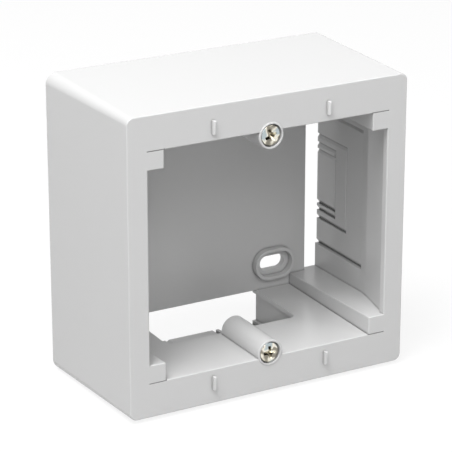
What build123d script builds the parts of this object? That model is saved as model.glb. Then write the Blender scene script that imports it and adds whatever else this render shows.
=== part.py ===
from build123d import *
import math
import os

# Surface mount box for one wiring accessory, with its two accessory screws.
# The origin is the centre of the wall face. +X is to the right, +Y into the wall
# and +Z up, so the open front faces -Y. Sizes are in millimetres and degrees.

# Outer body, one injection moulding
FRONT_W = 83.2              # front outline, side to side
DEPTH = 43.2                # wall face to front face
DRAFT = 1.5                 # the outer walls and the floors lean by this
CORNER_R = 2.0              # the four long edges, where they reach the front face
EDGE_R = 0.35               # rounding of the edges round the front face
WALL = 1.9                  # outer walls
INNER_R = 0.4               # inside corners of the outer walls, at the front frame

# Front face and the opening for the accessory
FACE_T = 2.0                # thickness of the front frame
SIDE_BAR = 5.8              # bars left and right of the opening
CROSS_BAR = 9.55            # bars above and below the opening
OPENING_R = 0.3             # rounding round the opening and along the corner blocks
BLOCK_W = 4.7               # corner blocks, measured from the side bars
BLOCK_H = 4.9               # corner blocks, measured from the cross bars
SHELF_DRAFT = 1.0           # the blocks' shelves open up towards the wall
WITNESS_W = 0.22            # fine parting groove beside each corner block
WITNESS_D = 0.25

# Floors above and below the opening
FLOOR_T = 1.35
CUTOUT_DEPTH = 23.5         # cable cut-out in each floor, measured from the wall face
CUTOUT_R = 2.0

# Side passages, from the opening's sides to the wall face
STEP_W = 0.6                # ledge of the front frame inside the side wall
FLARE_LEN = 14.5            # the side wall is thicker over this length behind the frame
FLARE_BLEND = 20.0
PASSAGE_LAND = 0.2          # the back plate is wider than the opening by this each side

# Back plate and the cored pockets behind the front frame
BACK_T = 2.0
POCKET_DRAFT = 0.5
WEB_T = 1.2                 # upright webs beside the cable cut-outs
WEB_SETBACK = 1.1           # the webs stand back from the edges of the cut-outs
BLOCK_WALL = 1.5            # wall of the hollow corner blocks
SHELF_T = 1.3               # shelf thickness at the wall face

# Knock-outs for trunking: width across and depth off the wall
TRUNKING = ((16.0, 10.0), (20.0, 10.0), (25.0, 16.0), (40.0, 25.0))
KNOCKOUT_CLEARANCE = 0.15   # each side
PANEL_T = 1.45              # wall inside the largest knock-out
BREAK_T = 0.6               # wall left at the bottom of a break line
RAMP_W = 1.2                # inner slope of a break line, at a knock-out's two sides
RAMP_FRONT = 0.7            # and at its front end

# Fixing slots in the back plate
SLOT_INSET_X = 10.7         # from the plate's side edges, which gives 50.6 mm centres
SLOT_INSET_Z = 7.52         # from its upper and lower edges, which gives 45.2 mm centres
SLOT_L = 8.0
SLOT_W = 4.2
SEAT_MARGIN = 1.45          # flat seat round the slot for the screw's head
RIM_T = 0.95
RIM_H = 2.0
RIM_EDGE = 0.1              # bevel round the rim's top

# Accessory screws and their bosses
SCREW_CENTRES = 60.0        # the standard centres, which set the height of the box
SCREW_INSET = 1.2           # from the opening's upper and lower edges to the screws' axes
BOSS_D = 7.3                # at its front end
BOSS_DRAFT = 0.5            # the boss widens towards the wall by this
BOSS_EDGE = 0.2             # bevel round the boss's front end
BOSS_PROUD = 0.2            # the boss stands out of the front face by this
BOSS_LENGTH = 19.0          # behind the front face
HEAD_D = 5.8
HEAD_RIM_H = 1.6            # height of the head at its rim
HEAD_DOME = 0.45            # the dome above the rim
HEAD_EDGE = 0.25            # bevel round the head
SEAT_GAP = 0.2              # between the head and the wall of its seat
SHANK_D = 3.2
SHANK_L = 15.0
POINT_L = 1.6
POINT_D = 1.6
SHANK_CLEARANCE = 0.05      # radial
RECESS_D = 3.8              # cross recess, across its wings
RECESS_WING = 1.05
RECESS_DEPTH = 2.0
RECESS_CORE_D = 1.5         # across the wings at the bottom
RECESS_DRAFT = 5.0
UPPER_TURN = 24.0           # how far each screw's cross is turned
LOWER_TURN = 4.0

# Cover ribs on the front face
RIB_PITCH_X = 34.2
RIB_FROM_OPENING = 3.7
RIB_L = 3.7
RIB_W = 0.8
RIB_H = 1.3
RIB_R = 0.35

REACH = 1.0                 # how far a cutting solid runs past the face it opens

# Worked out from the sizes above
SLOPE = math.tan(math.radians(DRAFT))
SHELF_SLOPE = math.tan(math.radians(SHELF_DRAFT))
POCKET_SLOPE = math.tan(math.radians(POCKET_DRAFT))
OPEN_X = FRONT_W / 2 - SIDE_BAR
OPEN_Z = SCREW_CENTRES / 2 + SCREW_INSET
FRONT_H = 2 * (OPEN_Z + CROSS_BAR)
BACK_W = FRONT_W + 2 * DEPTH * SLOPE
BACK_H = FRONT_H + 2 * DEPTH * SLOPE
FRAME_Y = FACE_T - DEPTH    # rear face of the front frame
BLOCK_X = OPEN_X - BLOCK_W
BLOCK_Z = OPEN_Z - BLOCK_H
PASSAGE_X = OPEN_X + PASSAGE_LAND
KNOCKOUTS = [(w + 2 * KNOCKOUT_CLEARANCE, d + KNOCKOUT_CLEARANCE) for w, d in TRUNKING]
CUTOUT_X = KNOCKOUTS[-1][0] / 2
WEB_X = CUTOUT_X + WEB_SETBACK
SEAT_DEPTH = HEAD_RIM_H + HEAD_DOME


def floor_z(y):
    """Height of the floors' inner faces above and below the centre."""
    return OPEN_Z - (y + DEPTH) * SLOPE


def shelf_z(y):
    """Height of the corner shelves, which open up towards the wall."""
    return BLOCK_Z + (y + DEPTH) * SHELF_SLOPE


def wall_x(y):
    """Inner face of the side walls."""
    return BACK_W / 2 - WALL + y * SLOPE


def prism_x(points, x0, x1):
    """A (y, z) outline carried from x0 to x1."""
    outline = Plane.YZ.offset(x0) * make_face(Polyline(*points, close=True))
    return extrude(outline, amount=x1 - x0)


def prism_z(points, z0, z1):
    """An (x, y) outline carried from z0 to z1."""
    outline = Plane.XY.offset(z0) * make_face(Polyline(*points, close=True))
    return extrude(outline, amount=z1 - z0)


def both_sides(shape):
    return shape + mirror(shape, about=Plane.YZ)


def above_and_below(shape):
    return shape + mirror(shape, about=Plane.XY)


def drafted_block(width, height, depth, corner_r):
    """A block with the front outline given, which widens by the draft to the wall."""
    front = Plane.XZ.offset(depth) * RectangleRounded(width, height, corner_r)
    return extrude(front, amount=-depth, taper=-DRAFT)


def outer_body():
    """The drafted block with its rounded front."""
    body = drafted_block(FRONT_W, FRONT_H, DEPTH, CORNER_R)
    return fillet(body.faces().sort_by(Axis.Y)[0].edges(), EDGE_R)


def inner_space():
    """What the cores behind the front frame may take out, between the outer walls."""
    inset = 2 * (WALL - FACE_T * SLOPE)
    return drafted_block(FRONT_W - inset, FRONT_H - inset, DEPTH - FACE_T, INNER_R)


def main_cavity():
    """Room for the accessory: between the floors, and between the shelves' ends."""
    y0 = -DEPTH - REACH
    y1 = -BACK_T
    tall = [(y0, -floor_z(y0)), (y1, -floor_z(y1)), (y1, floor_z(y1)), (y0, floor_z(y0))]
    wide = [(y0, -shelf_z(y0)), (y1, -shelf_z(y1)), (y1, shelf_z(y1)), (y0, shelf_z(y0))]
    room = prism_x(tall, -BLOCK_X, BLOCK_X) + prism_x(wide, -OPEN_X, OPEN_X)
    long_edges = room.edges().filter_by(lambda e: e.bounding_box().size.Y > FACE_T)
    block_edges = long_edges.sort_by_distance((0, -DEPTH / 2, 0))[:4]
    return fillet(block_edges, OPENING_R)


def open_front(body):
    """Cut the cavity and round the edges of its opening."""
    body -= main_cavity()
    front = body.faces().sort_by(Axis.Y)[0]
    return fillet(front.inner_wires()[0].edges(), OPENING_R)


def side_passages():
    """Cable passages past the back plate, flared behind the front frame."""
    flare_x = OPEN_X + STEP_W
    knee_y = FRAME_Y + FLARE_LEN
    outline = Polyline(
        (BLOCK_X, FRAME_Y),
        (flare_x, FRAME_Y),
        (wall_x(knee_y), knee_y),
        (wall_x(REACH), REACH),
        (PASSAGE_X, REACH),
        (PASSAGE_X, -BACK_T),
        (BLOCK_X, -BACK_T),
        close=True,
    )
    face = make_face(outline)
    knee = face.vertices().sort_by_distance((wall_x(knee_y), knee_y, 0))[0]
    face = fillet(knee, FLARE_BLEND)
    top = shelf_z(REACH)
    passage = extrude(Plane.XY.offset(-top) * face, amount=2 * top)
    front = FRAME_Y - REACH
    wide = [(front, -shelf_z(front)), (REACH, -top), (REACH, top), (front, shelf_z(front))]
    passage &= prism_x(wide, 0, FRONT_W)
    return both_sides(passage)


def floor_spaces(space):
    """Cored space behind each floor, between the two webs."""
    front_x = WEB_X + FRAME_Y * POCKET_SLOPE
    across = [(-front_x, FRAME_Y), (front_x, FRAME_Y), (WEB_X, 0), (-WEB_X, 0)]
    behind = [
        (FRAME_Y, floor_z(FRAME_Y) + FLOOR_T),
        (FRAME_Y, BACK_H),
        (0, BACK_H),
        (0, floor_z(0) + FLOOR_T),
    ]
    room = prism_z(across, 0, BACK_H) & prism_x(behind, -BACK_W, BACK_W) & space
    return above_and_below(room)


def corner_pockets(space):
    """L-shaped cored pockets round the corner blocks, open at the wall face."""
    web_x = WEB_X + WEB_T
    block_x = BLOCK_X + BLOCK_WALL
    grow = -FRAME_Y * POCKET_SLOPE
    beside_web = [(web_x + grow, FRAME_Y), (BACK_W, FRAME_Y), (BACK_W, 0), (web_x, 0)]
    beside_block = [(block_x + grow, FRAME_Y), (BACK_W, FRAME_Y), (BACK_W, 0), (block_x, 0)]
    under_floor = [
        (FRAME_Y, floor_z(FRAME_Y) + FLOOR_T),
        (FRAME_Y, BACK_H),
        (0, BACK_H),
        (0, floor_z(0) + FLOOR_T),
    ]
    shelf = shelf_z(0) + SHELF_T
    under_shelf = [(FRAME_Y, shelf + grow), (FRAME_Y, BACK_H), (0, BACK_H), (0, shelf)]
    low = prism_z(beside_web, 0, BACK_H) & prism_x(under_floor, 0, BACK_W)
    high = prism_z(beside_block, 0, BACK_H) & prism_x(under_shelf, 0, BACK_W)
    pocket = (low + high) & space
    return above_and_below(both_sides(pocket))


def cable_cutouts():
    """Cut-outs in both floors, which also set the back plate's two long edges."""
    depth = CUTOUT_DEPTH + REACH
    opening = Pos(0, REACH - depth / 2) * Rectangle(2 * CUTOUT_X, depth)
    opening = fillet(opening.vertices().group_by(Axis.Y)[0], CUTOUT_R)
    low = floor_z(-BACK_T)
    height = floor_z(-CUTOUT_DEPTH) + FLOOR_T + REACH - low
    return above_and_below(extrude(Plane.XY.offset(low) * opening, amount=height))


def knockout_outline(width, depth):
    """A knock-out's outline, carried on behind the wall face."""
    behind = 2 * WALL
    return Pos((depth - behind) / 2, 0) * Rectangle(depth + behind, width)


def knockout_set():
    """One wall's knock-outs, cut from inside. Local x runs from the wall face to the
    front, y across the wall, and z inwards from its outer face."""
    panel = knockout_outline(*KNOCKOUTS[-1])
    cut = extrude(Plane.XY.offset(PANEL_T) * panel, amount=2 * WALL)
    for width, depth in KNOCKOUTS:
        edge = knockout_outline(width, depth)
        crown = knockout_outline(width - 2 * RAMP_W, depth - RAMP_FRONT)
        trench = extrude(Plane.XY.offset(BREAK_T) * edge, amount=PANEL_T - BREAK_T)
        island = loft([Plane.XY.offset(BREAK_T) * edge, Plane.XY.offset(PANEL_T) * crown], ruled=True)
        cut += trench - island
    return cut


def wall_planes():
    """The four outer walls, each with x towards the front and z inwards."""
    lean = math.radians(DRAFT)
    planes = []
    for out, half in (
        (Vector(1, 0, 0), BACK_W / 2),
        (Vector(-1, 0, 0), BACK_W / 2),
        (Vector(0, 0, 1), BACK_H / 2),
        (Vector(0, 0, -1), BACK_H / 2),
    ):
        forward = Vector(0, -math.cos(lean), 0) - out * math.sin(lean)
        inward = Vector(0, math.sin(lean), 0) - out * math.cos(lean)
        planes.append(Plane(origin=out * half, x_dir=forward, z_dir=inward))
    return planes


def slot_centres():
    x = PASSAGE_X - SLOT_INSET_X
    z = floor_z(-BACK_T) - SLOT_INSET_Z
    return [(-x, -z), (-x, z), (x, -z), (x, z)]


def slot_outline(grow):
    return SlotOverall(SLOT_L + 2 * grow, SLOT_W + 2 * grow)


def slot_rim():
    """Raised rim round a fixing slot, drawn on the plate's front face."""
    outline = slot_outline(SEAT_MARGIN + RIM_T) - slot_outline(SEAT_MARGIN)
    rim = extrude(Plane.XZ.offset(BACK_T) * outline, amount=RIM_H)
    return chamfer(rim.faces().sort_by(Axis.Y)[0].edges(), RIM_EDGE)


def slot_hole():
    return extrude(Plane.XZ.offset(-REACH) * slot_outline(0), amount=BACK_T + 2 * REACH)


def boss():
    """Round boss, half sunk in the floor, before its hole is made."""
    height = BOSS_LENGTH + BOSS_PROUD
    front_r = BOSS_D / 2
    rear_r = front_r + height * math.tan(math.radians(BOSS_DRAFT))
    upright = Cone(rear_r, front_r, height, align=(Align.CENTER, Align.CENTER, Align.MIN))
    post = Plane.XZ.offset(DEPTH - BOSS_LENGTH) * upright
    return chamfer(post.faces().sort_by(Axis.Y)[0].edges(), BOSS_EDGE)


def boss_hole():
    """Through hole for the shank and the flat-bottomed seat of the head."""
    start = DEPTH - BOSS_LENGTH
    shank = extrude(
        Plane.XZ.offset(start - REACH) * Circle(SHANK_D / 2 + SHANK_CLEARANCE),
        amount=BOSS_LENGTH + BOSS_PROUD + 2 * REACH,
    )
    seat_y = DEPTH + BOSS_PROUD - SEAT_DEPTH
    seat = extrude(
        Plane.XZ.offset(seat_y) * Circle(HEAD_D / 2 + SEAT_GAP), amount=SEAT_DEPTH + REACH
    )
    return shank + seat


def cover_rib():
    """Small upright rib on the front face, with rounded edges."""
    rib = extrude(Plane.XZ.offset(DEPTH) * Rectangle(RIB_W, RIB_L), amount=RIB_H)
    rib = fillet(rib.faces().sort_by(Axis.Y)[0].edges(), RIB_R)
    root = extrude(Plane.XZ.offset(DEPTH - FACE_T / 2) * Rectangle(RIB_W, RIB_L), amount=FACE_T / 2)
    return rib + root


def witness_grooves():
    """Fine grooves round the corner blocks: across the front face and along the floor."""
    across = Pos(BLOCK_X + (BLOCK_W + WITNESS_W) / 2, -DEPTH, OPEN_Z + WITNESS_W / 2) * Box(
        BLOCK_W + WITNESS_W, 2 * WITNESS_D, WITNESS_W
    )
    y0 = -DEPTH - REACH
    y1 = -BACK_T
    along = prism_x(
        [
            (y0, floor_z(y0) - WITNESS_D),
            (y1, floor_z(y1) - WITNESS_D),
            (y1, floor_z(y1) + WITNESS_D),
            (y0, floor_z(y0) + WITNESS_D),
        ],
        BLOCK_X - WITNESS_W,
        BLOCK_X,
    )
    return above_and_below(both_sides(across + along))


def surface_box():
    """The whole moulding."""
    space = inner_space()
    box = open_front(outer_body())
    box -= side_passages()
    box -= floor_spaces(space)
    box -= corner_pockets(space)
    box -= cable_cutouts()
    knockouts = knockout_set()
    for plane in wall_planes():
        box -= plane.location * knockouts
    for x, z in slot_centres():
        box += Pos(x, 0, z) * slot_rim()
        box -= Pos(x, 0, z) * slot_hole()
    for side in (-1, 1):
        screw_z = side * SCREW_CENTRES / 2
        box += Pos(0, 0, screw_z) * boss()
        box -= Pos(0, 0, screw_z) * boss_hole()
        rib_z = side * (OPEN_Z + RIB_FROM_OPENING)
        for x in (-RIB_PITCH_X / 2, RIB_PITCH_X / 2):
            box += Pos(x, 0, rib_z) * cover_rib()
    box -= witness_grooves()
    return box


def cross_recess():
    """Cross recess, opening along +Z from z = 0 at the top of the head."""
    cross = Rectangle(RECESS_D, RECESS_WING) + Rectangle(RECESS_WING, RECESS_D)
    wings = extrude(cross, amount=-RECESS_DEPTH, taper=RECESS_DRAFT)
    core = Pos(0, 0, -RECESS_DEPTH / 2) * Cone(RECESS_CORE_D / 2, RECESS_D / 2, RECESS_DEPTH)
    above = extrude(cross, amount=HEAD_DOME)
    return (wings & core) + above


def accessory_screw(turn):
    """Raised-head screw along Y, its head's seat at y = 0 and its point towards +Y."""
    r_head = HEAD_D / 2
    r_shank = SHANK_D / 2
    dome_r = (r_head**2 + HEAD_DOME**2) / (2 * HEAD_DOME)
    crown = HEAD_RIM_H + HEAD_DOME
    # Half section in (radius, height), the height running out of the head.
    below = Polyline(
        (0, crown),
        (0, -SHANK_L),
        (POINT_D / 2, -SHANK_L),
        (r_shank, POINT_L - SHANK_L),
        (r_shank, 0),
        (r_head, 0),
        (r_head, HEAD_RIM_H),
    )
    dome = RadiusArc((r_head, HEAD_RIM_H), (0, crown), -dome_r)
    section = make_face([below, dome])
    rim = section.vertices().sort_by_distance((r_head, HEAD_RIM_H, 0))[0]
    section = chamfer(rim, HEAD_EDGE)
    solid = revolve(Plane.XZ * section, Axis.Z)
    solid -= Pos(0, 0, crown - HEAD_DOME / 3) * Rot(0, 0, turn) * cross_recess()
    return Rot(90, 0, 0) * solid


def placed_screw(side, turn):
    seat_y = SEAT_DEPTH - DEPTH - BOSS_PROUD
    return Pos(0, seat_y, side * SCREW_CENTRES / 2) * accessory_screw(turn)


def main():
    os.makedirs("parts", exist_ok=True)
    export_step(surface_box(), "parts/surface_box.step")
    export_step(placed_screw(1, UPPER_TURN), "parts/upper_screw.step")
    export_step(placed_screw(-1, LOWER_TURN), "parts/lower_screw.step")


main()
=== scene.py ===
import math

import bmesh
import bpy
from mathutils import Matrix, Vector


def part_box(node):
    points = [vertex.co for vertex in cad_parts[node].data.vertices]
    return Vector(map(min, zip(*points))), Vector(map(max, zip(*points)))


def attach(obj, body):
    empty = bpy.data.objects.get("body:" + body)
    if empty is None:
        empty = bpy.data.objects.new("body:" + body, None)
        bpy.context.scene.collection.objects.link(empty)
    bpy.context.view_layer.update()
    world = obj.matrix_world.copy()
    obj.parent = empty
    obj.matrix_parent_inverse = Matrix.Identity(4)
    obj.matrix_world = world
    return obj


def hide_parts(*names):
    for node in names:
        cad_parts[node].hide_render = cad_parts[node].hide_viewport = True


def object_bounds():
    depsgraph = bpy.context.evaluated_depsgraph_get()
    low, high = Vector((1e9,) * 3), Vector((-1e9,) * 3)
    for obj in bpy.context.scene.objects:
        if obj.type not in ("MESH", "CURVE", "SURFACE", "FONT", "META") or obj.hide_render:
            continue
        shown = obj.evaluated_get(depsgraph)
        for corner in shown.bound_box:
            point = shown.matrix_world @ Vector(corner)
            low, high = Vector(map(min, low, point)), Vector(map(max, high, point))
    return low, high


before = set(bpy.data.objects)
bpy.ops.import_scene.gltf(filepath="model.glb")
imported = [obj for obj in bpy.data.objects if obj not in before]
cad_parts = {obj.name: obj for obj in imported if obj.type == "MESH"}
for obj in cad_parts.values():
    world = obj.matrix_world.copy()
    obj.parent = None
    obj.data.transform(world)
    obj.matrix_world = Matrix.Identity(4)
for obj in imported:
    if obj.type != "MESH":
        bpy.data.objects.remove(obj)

CAD_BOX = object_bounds()
MM = 0.001
WHITE = (1.0, 1.0, 1.0, 1.0)

# Camera, as measured in the photograph. The frame is taken to be 452 by 452.
CAMERA_AT = Vector((-0.29176, -0.52798, 0.2079))
CAMERA_AIM = Vector((-0.00094, -0.0216, -0.00107))
LENS_MM = 184.85
SENSOR_MM = 36.0

# Softboxes, all equally far away: name, degrees left of the front, degrees above the
# horizon, side in metres, watts
OBJECT_MIDDLE = Vector((0, -0.02, 0))
SOFTBOX_AWAY = 0.95
SOFTBOXES = (
    ("key_softbox", 69, 65, 0.5, 10.6),
    ("upper_left_softbox", 45, 45, 0.5, 2.5),
    ("middle_softbox", 0, 45, 0.4, 1.7),
    ("lower_left_softbox", 20, 20, 0.5, 1.6),
    ("right_softbox", -45, 35, 0.16, 1.5),
    ("rear_softbox", 180, 12, 0.5, 1.2),
)

# Room and floor
ROOM_LEVEL = 0.06           # what the walls of the room send back
FLOOR_REACH = 2.0           # from the middle to each side, in metres
FLOOR_GLOW = 0.86           # share of the floor's white that the shadow leaves alone

# Moulded surface, in millimetres
MOULD_EDGE_R = 0.12         # rounding of the tool's corners
PULL_SPACING = 12.0         # from wave to wave where the cooling wall was pulled
PULL_HEIGHT = 0.1
POLISH_PATCH = 0.8          # coarser than a tool's real polish, so that it shows
PAINTED_SHADE_REACH = 0.7            # how far the painted shade reaches out of a groove or inner corner
PAINTED_SHADE_FULL = 0.3             # share of open surroundings at which the painted shade is full
PAINTED_SHADE_OUT = 0.95             # and at which it ends

# Plated surface, in millimetres
PAINTED_REFLECTION_PATCH = 2.8           # patches of painted reflection, in darker, warmer, cooler and lighter tones
HEADING_MARK = 0.5          # from mark to mark
HEADING_DEPTH = 0.05

# Welding in millimetres, and angles in degrees
WELD = 0.001
LEVEL_WITHIN = 0.1          # faces this nearly level become one
BOX_CRISP_FROM = 28         # edges sharper than this stay crisp
SCREW_CRISP_FROM = 32

# Steps of the screws' round forms
HEAD_STEPS = 48             # round the head
SHANK_STEPS = 24            # round the shank, and for each turn of the thread
CONE_STEPS = 24             # round the cone of the recess
DOME_STEPS = 6              # from the middle of the dome to its edge
EDGE_STEPS = 5              # over the rounded edge of the head

# The accessory screws, in millimetres. Places along a screw are measured from the head's
# seat, into the wall.
HEAD_R = 2.8
HEAD_RIM = 1.6
HEAD_DOME = 0.42
HEAD_EDGE_R = 0.3
SMALL_BEVEL = 0.1           # under the head and at the point's end
WING_W = 0.9                # wings of the cross, at the top of the recess
WING_L = 4.4
WING_FOOT_W = 0.5           # and at its bottom
WING_FOOT_L = 1.0
RECESS_DEEP = 1.5
RECESS_ABOVE = 0.2          # how far the cutting tools stand out of the head
CONE_R = 1.0                # cone at the middle of the cross
CONE_FOOT_R = 0.4
CONE_DEEPER = 0.1           # than the wings
NECK_R = 1.6
NECK_L = 0.5
NECK_TAPER = 0.4
CORE_R = 1.15
CORE_START = 0.3            # inside the neck
SHANK_L = 15.0
POINT_L = 1.6
POINT_R = 0.75
CREST_R = 1.6
CREST_W = 0.08
FLANK_W = 0.2
THREAD_SUNK = 0.15          # how deep the thread's root lies in the core
PITCH = 1.2
THREAD_START = 0.9
THREAD_END = 14.2
RUN_OUT_FROM = 0.15         # share of its height that the thread has at its very ends
UPPER_TURN = 24.0           # how far each screw's cross is turned, in degrees
LOWER_TURN = 4.0

# Worked out from the sizes above
CROWN_Y = -HEAD_RIM - HEAD_DOME
THREAD_W = 2 * FLANK_W + CREST_W
THREAD_ROOT_R = CORE_R - THREAD_SUNK


def linear(code):
    """An sRGB hex colour as a linear RGBA value."""
    out = []
    for i in (1, 3, 5):
        c = int(code[i:i + 2], 16) / 255
        out.append(c / 12.92 if c <= 0.04045 else ((c + 0.055) / 1.055) ** 2.4)
    return (*out, 1.0)


def add_node(tree, kind, settings=None, values=None, links=None):
    """One node, with its settings, its socket values and the sockets that feed it."""
    node = tree.nodes.new(kind)
    for name, value in (settings or {}).items():
        setattr(node, name, value)
    for socket, value in (values or {}).items():
        node.inputs[socket].default_value = value
    for socket, source in (links or {}).items():
        tree.links.new(source, node.inputs[socket])
    return node


def new_material(name):
    """An empty material and its node tree."""
    material = bpy.data.materials.new(name)
    material.use_nodes = True
    material.node_tree.nodes.clear()
    return material, material.node_tree


def gloss_moulded_abs():
    """White ABS moulded in a polished tool: one even colour, a soft clear reflection, and
    a faint waviness from the pull of the cooling wall. The edges have the small rounding of
    a tool's corners, which catches a thin line of light. Grooves and sharp inner corners
    get painted shade: their colour is darker by how closed in they are."""
    material, tree = new_material("gloss_moulded_abs")
    place = add_node(tree, "ShaderNodeTexCoord").outputs["Object"]
    edge = add_node(tree, "ShaderNodeBevel", {"samples": 6}, {"Radius": MOULD_EDGE_R * MM})
    wave = add_node(
        tree,
        "ShaderNodeTexNoise",
        values={"Scale": 1 / (PULL_SPACING * MM), "Detail": 1.0},
        links={"Vector": place},
    )
    pull = add_node(
        tree,
        "ShaderNodeBump",
        values={"Strength": 0.1, "Distance": PULL_HEIGHT * MM},
        links={"Height": wave.outputs["Fac"], "Normal": edge.outputs["Normal"]},
    )
    polish = add_node(
        tree,
        "ShaderNodeTexNoise",
        values={"Scale": 1 / (POLISH_PATCH * MM), "Detail": 2.0},
        links={"Vector": place},
    )
    rough = add_node(
        tree,
        "ShaderNodeMapRange",
        values={"To Min": 0.22, "To Max": 0.28},
        links={"Value": polish.outputs["Fac"]},
    )
    # Painted shade: the colour darkens in grooves and inner corners, by how closed in they are.
    groove_occlusion = add_node(
        tree,
        "ShaderNodeAmbientOcclusion",
        {"samples": 8, "only_local": True},
        {"Distance": PAINTED_SHADE_REACH * MM},
    )
    painted_shade_mask = add_node(
        tree,
        "ShaderNodeMapRange",
        values={"From Min": PAINTED_SHADE_FULL, "From Max": PAINTED_SHADE_OUT},
        links={"Value": groove_occlusion.outputs["AO"]},
    )
    # The darker of the two colours is painted shade, the lighter one the plastic's own colour.
    # Inputs 6 and 7 of a colour mix are its two colours, and output 2 is the result.
    body = add_node(
        tree,
        "ShaderNodeMix",
        {"data_type": "RGBA"},
        {6: linear("#8c8c8c"), 7: linear("#c6c6c6")},
        {0: painted_shade_mask.outputs["Result"]},
    )
    shader = add_node(
        tree,
        "ShaderNodeBsdfPrincipled",
        values={"IOR": 1.42},
        links={
            "Base Color": body.outputs[2],
            "Roughness": rough.outputs["Result"],
            "Normal": pull.outputs["Normal"],
        },
    )
    add_node(tree, "ShaderNodeOutputMaterial", links={"Surface": shader.outputs["BSDF"]})
    return material


def bright_nickel_plate():
    """Bright nickel plate on a cold-headed steel screw: a mirror whose colour is painted in
    patches of taupe, cream and cool grey, as painted reflections of its surroundings, broken
    a little by the marks of the heading die."""
    material, tree = new_material("bright_nickel_plate")
    place = add_node(tree, "ShaderNodeTexCoord").outputs["Object"]
    # Painted reflections: the metal's colour goes in patches from dark taupe to cream and cool
    # grey, standing in for reflected surroundings.
    patches = add_node(
        tree,
        "ShaderNodeTexNoise",
        values={"Scale": 1 / (PAINTED_REFLECTION_PATCH * MM), "Detail": 1.0},
        links={"Vector": place},
    )
    painted_reflection_tint = add_node(tree, "ShaderNodeValToRGB", links={"Fac": patches.outputs["Fac"]})
    ramp = painted_reflection_tint.color_ramp.elements
    ramp[0].position = 0.36
    ramp[0].color = linear("#77736a")
    ramp[1].position = 0.66
    ramp[1].color = linear("#b4bec1")
    ramp.new(0.47).color = linear("#959084")
    ramp.new(0.54).color = linear("#f0ebdc")
    marks = add_node(
        tree,
        "ShaderNodeTexNoise",
        values={"Scale": 1 / (HEADING_MARK * MM), "Detail": 2.0},
        links={"Vector": place},
    )
    dents = add_node(
        tree,
        "ShaderNodeBump",
        values={"Strength": 0.35, "Distance": HEADING_DEPTH * MM},
        links={"Height": marks.outputs["Fac"]},
    )
    shader = add_node(
        tree,
        "ShaderNodeBsdfPrincipled",
        values={"Metallic": 1.0, "Roughness": 0.1},
        links={"Base Color": painted_reflection_tint.outputs["Color"], "Normal": dents.outputs["Normal"]},
    )
    add_node(tree, "ShaderNodeOutputMaterial", links={"Surface": shader.outputs["BSDF"]})
    return material


def new_object(name, bm):
    """An object at the origin from a bmesh, which is freed."""
    mesh = bpy.data.meshes.new(name)
    bm.to_mesh(mesh)
    bm.free()
    piece = bpy.data.objects.new(name, mesh)
    bpy.context.scene.collection.objects.link(piece)
    return piece


def shade(piece, crisp_from):
    """Smooth shading between flat faces, with edges sharper than the angle kept crisp."""
    piece.data.shade_smooth()
    piece.data.set_sharp_from_angle(angle=math.radians(crisp_from))
    flats = piece.modifiers.new("flat_faces_first", "WEIGHTED_NORMAL")
    flats.keep_sharp = True


def stand_for(piece, node, body, material):
    """Let the piece take a node's place, on its body and with its finish."""
    piece.data.materials.append(material)
    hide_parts(node.name)
    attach(piece, body)


def moulded_box(material):
    """The box's own mesh, welded, with each flat face made one face again. The normals
    stored with the loose triangles no longer fit the welded mesh, so they go."""
    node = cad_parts["surface_box"]
    bm = bmesh.new()
    bm.from_mesh(node.data)
    bmesh.ops.remove_doubles(bm, verts=bm.verts, dist=WELD * MM)
    bmesh.ops.dissolve_limit(
        bm,
        angle_limit=math.radians(LEVEL_WITHIN),
        use_dissolve_boundaries=False,
        verts=bm.verts,
        edges=bm.edges,
    )
    box = new_object("moulded_box", bm)
    box.data.attributes.remove(box.data.attributes["custom_normal"])
    shade(box, BOX_CRISP_FROM)
    stand_for(box, node, "box", material)


def turned(bm, profile, steps):
    """A closed round piece about the Y axis from (radius, y) points in millimetres."""
    verts = [bm.verts.new((r * MM, y * MM, 0)) for r, y in profile]
    edges = [bm.edges.new(pair) for pair in zip(verts, verts[1:])]
    bmesh.ops.spin(
        bm,
        geom=verts + edges,
        cent=(0, 0, 0),
        axis=(0, 1, 0),
        angle=math.tau,
        steps=steps,
        use_merge=True,
    )
    bmesh.ops.remove_doubles(bm, verts=bm.verts, dist=WELD * MM)
    bmesh.ops.recalc_face_normals(bm, faces=bm.faces)


def head_profile():
    """Half section of head and neck, from the middle of the dome to the neck's end."""
    dome_r = (HEAD_R**2 + HEAD_DOME**2) / (2 * HEAD_DOME)
    edge_x = HEAD_R - HEAD_EDGE_R
    points = []
    for i in range(DOME_STEPS + 1):
        r = edge_x * i / DOME_STEPS
        points.append((r, CROWN_Y + dome_r - math.sqrt(dome_r**2 - r**2)))
    edge_y = points[-1][1]
    for i in range(1, EDGE_STEPS + 1):
        a = math.radians(90 * i / EDGE_STEPS)
        x = edge_x + HEAD_EDGE_R * math.sin(a)
        y = edge_y + HEAD_EDGE_R * (1 - math.cos(a))
        points.append((x, y))
    points.append((HEAD_R, -SMALL_BEVEL))
    points.append((HEAD_R - SMALL_BEVEL, 0))
    points.append((NECK_R, 0))
    points.append((NECK_R, NECK_L))
    points.append((CORE_R, NECK_L + NECK_TAPER))
    points.append((0, NECK_L + NECK_TAPER))
    return points


def core_profile():
    """Half section of the shank's core, from inside the neck to the end of its point."""
    return [
        (0, CORE_START),
        (CORE_R, CORE_START),
        (CORE_R, SHANK_L - POINT_L),
        (POINT_R, SHANK_L - SMALL_BEVEL),
        (POINT_R - SMALL_BEVEL, SHANK_L),
        (0, SHANK_L),
    ]


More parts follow.
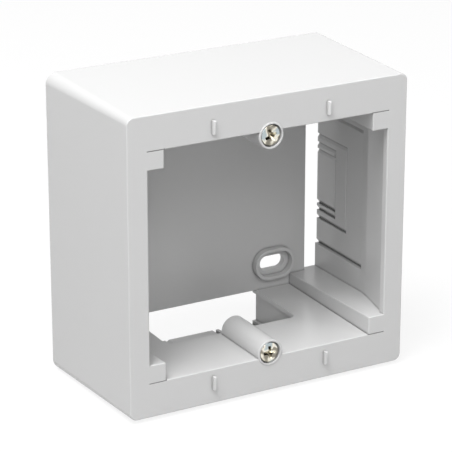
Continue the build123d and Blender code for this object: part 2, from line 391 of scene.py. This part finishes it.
def recess_wing(turn):
    """One tapered bar of the cross recess: long and wide at the top, short at the bottom."""
    bm = bmesh.new()
    bmesh.ops.create_cube(bm, size=1.0)
    for v in bm.verts:
        deep = v.co.y > 0
        v.co.x *= (WING_FOOT_W if deep else WING_W) * MM
        v.co.z *= (WING_FOOT_L if deep else WING_L) * MM
        v.co.y = (CROWN_Y + (RECESS_DEEP if deep else -RECESS_ABOVE)) * MM
    about_axis = Matrix.Rotation(math.radians(turn), 3, "Y")
    bmesh.ops.rotate(bm, verts=bm.verts, cent=(0, 0, 0), matrix=about_axis)
    return new_object("recess_wing", bm)


def recess_core():
    """The cone at the middle of the cross recess."""
    bm = bmesh.new()
    height = RECESS_ABOVE + RECESS_DEEP
    bmesh.ops.create_cone(
        bm,
        cap_ends=True,
        segments=CONE_STEPS,
        radius1=CONE_FOOT_R * MM,
        radius2=CONE_R * MM,
        depth=height * MM,
    )
    along_y = Matrix.Rotation(math.radians(90), 3, "X")
    bmesh.ops.rotate(bm, verts=bm.verts, cent=(0, 0, 0), matrix=along_y)
    middle_y = CROWN_Y + RECESS_DEEP + CONE_DEEPER - height / 2
    bmesh.ops.translate(bm, verts=bm.verts, vec=(0, middle_y * MM, 0))
    return new_object("recess_core", bm)


def carve(piece, tools):
    """Cut each tool out of the piece, then drop the tools."""
    for tool in tools:
        cut = piece.modifiers.new("cut", "BOOLEAN")
        cut.object = tool
        cut.solver = "EXACT"
    graph = bpy.context.evaluated_depsgraph_get()
    mesh = bpy.data.meshes.new_from_object(piece.evaluated_get(graph))
    piece.modifiers.clear()
    piece.data = mesh
    for tool in tools:
        bpy.data.objects.remove(tool)


def run_out(bm):
    """Lower a thread to its root at both ends."""
    for v in bm.verts:
        y = v.co.y / MM
        from_end = min(y - THREAD_START, THREAD_END + THREAD_W - y)
        out = Vector((v.co.x, 0, v.co.z))
        root = out.normalized() * THREAD_ROOT_R * MM
        grown = root + (out - root) * min(1.0, RUN_OUT_FROM + from_end / PITCH)
        v.co = Vector((grown.x, v.co.y, grown.z))


def coarse_thread():
    """Mesh of the coarse thread that cuts its way in plastic: its section, carried round
    the shank along a helix."""
    section = [
        (THREAD_ROOT_R, THREAD_START),
        (CREST_R, THREAD_START + FLANK_W),
        (CREST_R, THREAD_START + FLANK_W + CREST_W),
        (THREAD_ROOT_R, THREAD_START + THREAD_W),
    ]
    steps = round((THREAD_END - THREAD_START) / PITCH * SHANK_STEPS)
    bm = bmesh.new()
    face = bm.faces.new([bm.verts.new((r * MM, y * MM, 0)) for r, y in section])
    bmesh.ops.spin(
        bm,
        geom=[face],
        cent=(0, 0, 0),
        axis=(0, 1, 0),
        dvec=(0, PITCH / SHANK_STEPS * MM, 0),
        angle=math.tau * steps / SHANK_STEPS,
        steps=steps,
    )
    open_ends = [e for e in bm.edges if e.is_boundary]
    bmesh.ops.holes_fill(bm, edges=open_ends, sides=4)
    bmesh.ops.recalc_face_normals(bm, faces=bm.faces)
    run_out(bm)
    mesh = bpy.data.meshes.new("thread")
    bm.to_mesh(mesh)
    bm.free()
    return mesh


def accessory_screw(name, turn, material):
    """A plated screw with its cross turned by so many degrees, in place of its node. It
    has the node's axis, and its shank ends where the node's does."""
    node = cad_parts[name]
    low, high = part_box(name)
    seat = ((low[0] + high[0]) / 2, high[1] - SHANK_L * MM, (low[2] + high[2]) / 2)
    bm = bmesh.new()
    turned(bm, head_profile(), HEAD_STEPS)
    head = new_object(name + "_head", bm)
    carve(head, [recess_wing(-turn), recess_wing(90 - turn), recess_core()])
    bm = bmesh.new()
    bm.from_mesh(head.data)
    bpy.data.objects.remove(head)
    turned(bm, core_profile(), SHANK_STEPS)
    thread = coarse_thread()
    bm.from_mesh(thread)
    bpy.data.meshes.remove(thread)
    bmesh.ops.translate(bm, verts=bm.verts, vec=seat)
    screw = new_object("plated_" + name, bm)
    shade(screw, SCREW_CRISP_FROM)
    stand_for(screw, node, name, material)


def add_camera():
    """The camera at the photograph's place and angle."""
    data = bpy.data.cameras.new("camera")
    data.lens = LENS_MM
    data.sensor_width = SENSOR_MM
    camera = bpy.data.objects.new("camera", data)
    bpy.context.scene.collection.objects.link(camera)
    turn = (CAMERA_AIM - CAMERA_AT).to_track_quat("-Z", "Y").to_matrix()
    camera.matrix_world = Matrix.Translation(CAMERA_AT) @ turn.to_4x4()
    bpy.context.scene.camera = camera


def add_softbox(name, left, up, side, power):
    """A square softbox, so many degrees left of the front and above the horizon."""
    a = math.radians(left)
    e = math.radians(up)
    away = Vector((-math.cos(e) * math.sin(a), -math.cos(e) * math.cos(a), math.sin(e)))
    data = bpy.data.lights.new(name, "AREA")
    data.shape = "SQUARE"
    data.size = side
    data.energy = power
    lamp = bpy.data.objects.new(name, data)
    bpy.context.scene.collection.objects.link(lamp)
    turn = away.to_track_quat("Z", "Y").to_matrix()
    lamp.matrix_world = Matrix.Translation(OBJECT_MIDDLE + away * SOFTBOX_AWAY) @ turn.to_4x4()


def seen_or_mirrored(tree):
    """1 on the rays that show a surface to the camera, in a mirror or through glass."""
    path = add_node(tree, "ShaderNodeLightPath").outputs
    seen = path["Is Camera Ray"]
    for ray in ("Is Glossy Ray", "Is Transmission Ray"):
        either = add_node(
            tree, "ShaderNodeMath", {"operation": "MAXIMUM"}, links={0: seen, 1: path[ray]}
        )
        seen = either.outputs[0]
    return seen


def add_room():
    """A dim even room for the object, and plain white where it is seen or mirrored."""
    world = bpy.data.worlds.new("studio")
    world.use_nodes = True
    tree = world.node_tree
    tree.nodes.clear()
    room = add_node(tree, "ShaderNodeBackground", values={"Color": WHITE, "Strength": ROOM_LEVEL})
    plain = add_node(tree, "ShaderNodeBackground", values={"Color": WHITE, "Strength": 1.0})
    mix = add_node(
        tree,
        "ShaderNodeMixShader",
        links={0: seen_or_mirrored(tree), 1: room.outputs[0], 2: plain.outputs[0]},
    )
    add_node(tree, "ShaderNodeOutputWorld", links={"Surface": mix.outputs[0]})
    bpy.context.scene.world = world


def add_floor():
    """Grey paper for the light it sends back, near white where it is seen or mirrored, which
    leaves the object's shadow pale."""
    bm = bmesh.new()
    bmesh.ops.create_grid(bm, x_segments=1, y_segments=1, size=FLOOR_REACH)
    bmesh.ops.translate(bm, vec=(0, 0, CAD_BOX[0][2]), verts=bm.verts)
    floor = new_object("floor", bm)
    material, tree = new_material("pale_paper_sweep")
    grey = add_node(tree, "ShaderNodeBsdfDiffuse", values={"Color": linear("#b4b4b4")})
    pale = add_node(tree, "ShaderNodeBsdfDiffuse", values={"Color": linear("#fafafa")})
    glow = add_node(tree, "ShaderNodeEmission", values={"Color": WHITE, "Strength": 1.0})
    white = add_node(
        tree,
        "ShaderNodeMixShader",
        values={0: FLOOR_GLOW},
        links={1: pale.outputs[0], 2: glow.outputs[0]},
    )
    mix = add_node(
        tree,
        "ShaderNodeMixShader",
        links={0: seen_or_mirrored(tree), 1: grey.outputs[0], 2: white.outputs[0]},
    )
    add_node(tree, "ShaderNodeOutputMaterial", links={"Surface": mix.outputs[0]})
    floor.data.materials.append(material)


bpy.context.scene.view_settings.view_transform = "Standard"
add_camera()
add_room()
add_floor()
for softbox in SOFTBOXES:
    add_softbox(*softbox)

moulded_box(gloss_moulded_abs())
nickel = bright_nickel_plate()
accessory_screw("upper_screw", UPPER_TURN, nickel)
accessory_screw("lower_screw", LOWER_TURN, nickel)
